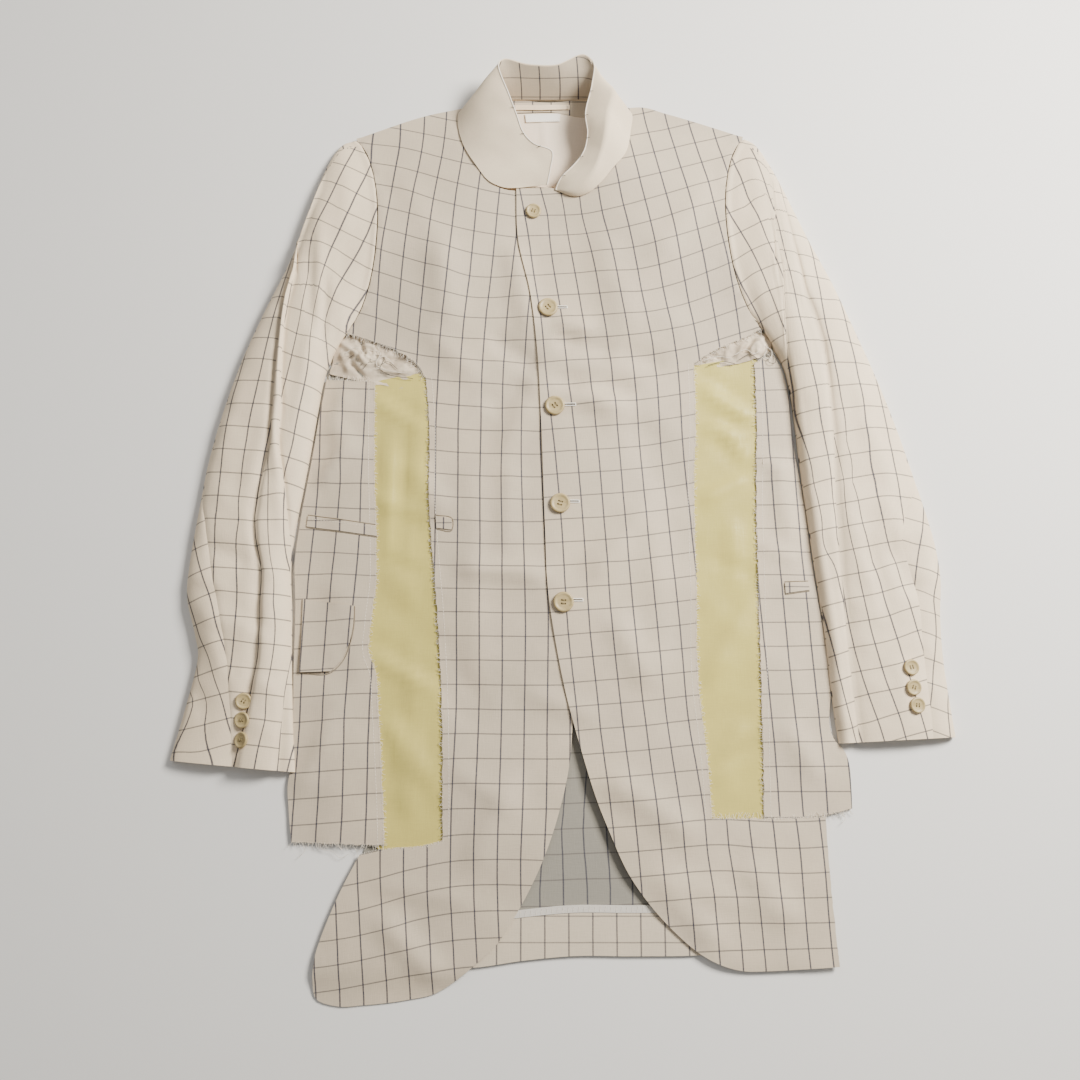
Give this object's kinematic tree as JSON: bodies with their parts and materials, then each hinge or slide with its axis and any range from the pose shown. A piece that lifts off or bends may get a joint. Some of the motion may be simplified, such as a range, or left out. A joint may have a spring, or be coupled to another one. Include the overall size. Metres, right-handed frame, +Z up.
{
  "type": "jacket",
  "caption": "Cut-open windowpane-check cloth jacket laid flat on its back, with stand collar, cutaway skirts, two set-in sleeves and cloth strips let into both sides.",
  "frame": {"origin": "middle of the laid-out outline, on the surface that the jacket lies on", "axes": "+Z up from the surface, +Y towards the collar, +X towards the wearer's left"},
  "size_m": [0.7538, 0.955, 0.0385],
  "materials": {
    "check_cloth": "ivory wool and linen cloth with a fine dark windowpane check, soft and nearly matt",
    "check_wrong_side": "the cloth's greyer wrong side",
    "yellow_cloth": "pale yellow plain cotton, slightly creased",
    "undercollar": "warm off-white undercollar felt",
    "cream_lining": "smooth cream lining",
    "white_label": "bare white woven tape",
    "horn_button": "cream horn-like button, half gloss"
  },
  "bodies": {
    "root": {"armhole_lining_left": "cream_lining", "armhole_lining_right": "cream_lining", "back": "check_wrong_side", "back_hem": "check_cloth", "collar": "undercollar", "front_button_1": "horn_button", "front_button_2": "horn_button", "front_button_3": "horn_button", "front_button_4": "horn_button", "front_button_5": "horn_button", "front_left": "check_cloth", "front_right": "check_cloth", "hanger_loop": "cream_lining", "hem_tape": "cream_lining", "insert_left": "yellow_cloth", "insert_right": "yellow_cloth", "left_cuff_button_1": "horn_button", "left_cuff_button_2": "horn_button", "left_cuff_button_3": "horn_button", "left_top_sleeve": "check_cloth", "left_under_sleeve": "check_cloth", "neck_facing": "check_cloth", "neck_label": "white_label", "neck_lining": "cream_lining", "pocket_flap": "check_cloth", "right_cuff_button_1": "horn_button", "right_cuff_button_2": "horn_button", "right_cuff_button_3": "horn_button", "right_top_sleeve": "check_cloth", "right_under_sleeve": "check_cloth", "side_panel_left": "check_cloth", "side_panel_right": "check_cloth", "ticket_welt": "check_cloth", "welt_left": "check_cloth", "welt_remnant": "check_cloth"}
  },
  "joints": []
}
